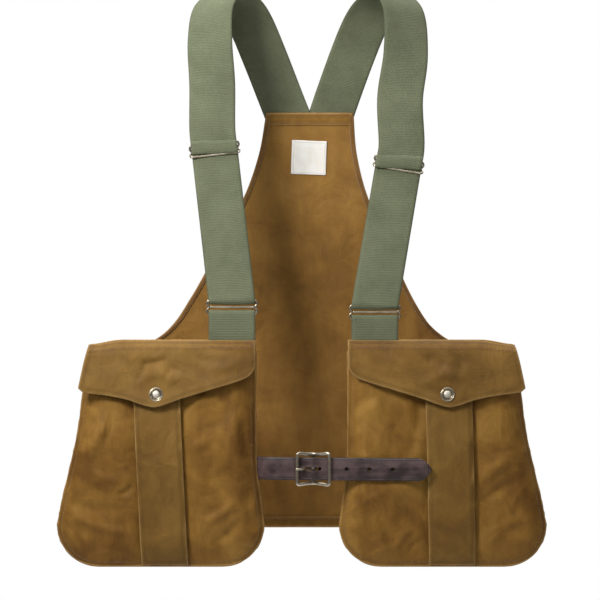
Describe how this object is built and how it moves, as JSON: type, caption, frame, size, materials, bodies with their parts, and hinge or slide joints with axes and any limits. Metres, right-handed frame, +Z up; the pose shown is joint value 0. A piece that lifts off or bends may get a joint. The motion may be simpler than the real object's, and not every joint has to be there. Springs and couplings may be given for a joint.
{
  "type": "fishing vest",
  "caption": "Strap fishing vest of waxed canvas: curved back panel, flapped snap pockets, webbing shoulder straps with sliders, leather buckle strap.",
  "frame": {"origin": "top of the shoulder straps, in the middle between the pockets, where the wearer's shoulders hold the vest", "axes": "+Z up, -Y the front with the pockets, +X to the right seen from the front"},
  "size_m": [0.547, 0.1622, 0.6538],
  "materials": {
    "waxed_canvas": "waxed cotton canvas, brown, soft mottling, roughness about 0.75",
    "binding_canvas": "dark bias tape of the same canvas",
    "label_cloth": "plain cream woven label",
    "webbing": "ribbed sage green cotton webbing",
    "leather": "dark brown bridle leather, creased edges",
    "nickel": "antique nickel wire and caps"
  },
  "bodies": {
    "vest": {"back_panel": "waxed_canvas", "bib_facing": "waxed_canvas", "rear_pouch": "waxed_canvas", "pocket_back_left": "waxed_canvas", "pocket_back_right": "waxed_canvas", "pocket_front_left": "waxed_canvas", "pocket_front_right": "waxed_canvas", "pocket_pleat_left": "waxed_canvas", "pocket_pleat_right": "waxed_canvas", "armhole_binding_left": "binding_canvas", "armhole_binding_right": "binding_canvas", "label": "label_cloth", "shoulder_web_left": "webbing", "shoulder_web_right": "webbing", "return_web_left": "webbing", "return_web_right": "webbing", "anchor_web_left": "webbing", "anchor_web_right": "webbing", "billet_strap": "leather", "chape_strap": "leather", "snap_stud_left": "nickel", "snap_stud_right": "nickel"},
    "flap_left": {"flap_left": "waxed_canvas", "snap_cap_left": "nickel", "snap_socket_left": "nickel"},
    "flap_right": {"flap_right": "waxed_canvas", "snap_cap_right": "nickel", "snap_socket_right": "nickel"},
    "slider_left": {"slider_frame_left": "nickel", "slider_bar_left": "nickel", "slider_web_end_left": "webbing"},
    "slider_right": {"slider_frame_right": "nickel", "slider_bar_right": "nickel", "slider_web_end_right": "webbing"},
    "ring_left": {"ring_frame_left": "nickel", "ring_bar_left": "nickel"},
    "ring_right": {"ring_frame_right": "nickel", "ring_bar_right": "nickel"},
    "buckle": {"buckle_frame": "nickel"},
    "prong": {"buckle_prong": "nickel"}
  },
  "joints": [
    {"name": "flap_lift_left", "type": "hinge", "parent": "vest", "child": "flap_left", "pos_m": [0, -0.0634, -0.3993], "axis": [-1, 0, 0], "range_deg": [0, 120]},
    {"name": "flap_lift_right", "type": "hinge", "parent": "vest", "child": "flap_right", "pos_m": [0, -0.0634, -0.3993], "axis": [-1, 0, 0], "range_deg": [0, 120]},
    {"name": "slider_slide_left", "type": "slide", "parent": "vest", "child": "slider_left", "axis": [-0.1173, 0.1646, 0.9794], "range_m": [-0.11, 0], "deforming": ["return_web_left"]},
    {"name": "slider_slide_right", "type": "slide", "parent": "vest", "child": "slider_right", "axis": [0.1692, 0.1746, 0.97], "range_m": [-0.11, 0], "deforming": ["return_web_right"]},
    {"name": "ring_tilt_left", "type": "hinge", "parent": "vest", "child": "ring_left", "pos_m": [-0.0784, -0.058, -0.362], "axis": [1, 0, 0], "range_deg": [-3, 3]},
    {"name": "ring_tilt_right", "type": "hinge", "parent": "vest", "child": "ring_right", "pos_m": [0.082, -0.058, -0.3675], "axis": [1, 0, 0], "range_deg": [-3, 3]},
    {"name": "buckle_rock", "type": "hinge", "parent": "vest", "child": "buckle", "pos_m": [0.0128, -0.0653, -0.5424], "axis": [0, 0, 1], "range_deg": [-3, 3]},
    {"name": "prong_swing", "type": "hinge", "parent": "buckle", "child": "prong", "pos_m": [0.0128, -0.0653, -0.5424], "axis": [0, 0, 1], "range_deg": [0, 80]}
  ]
}
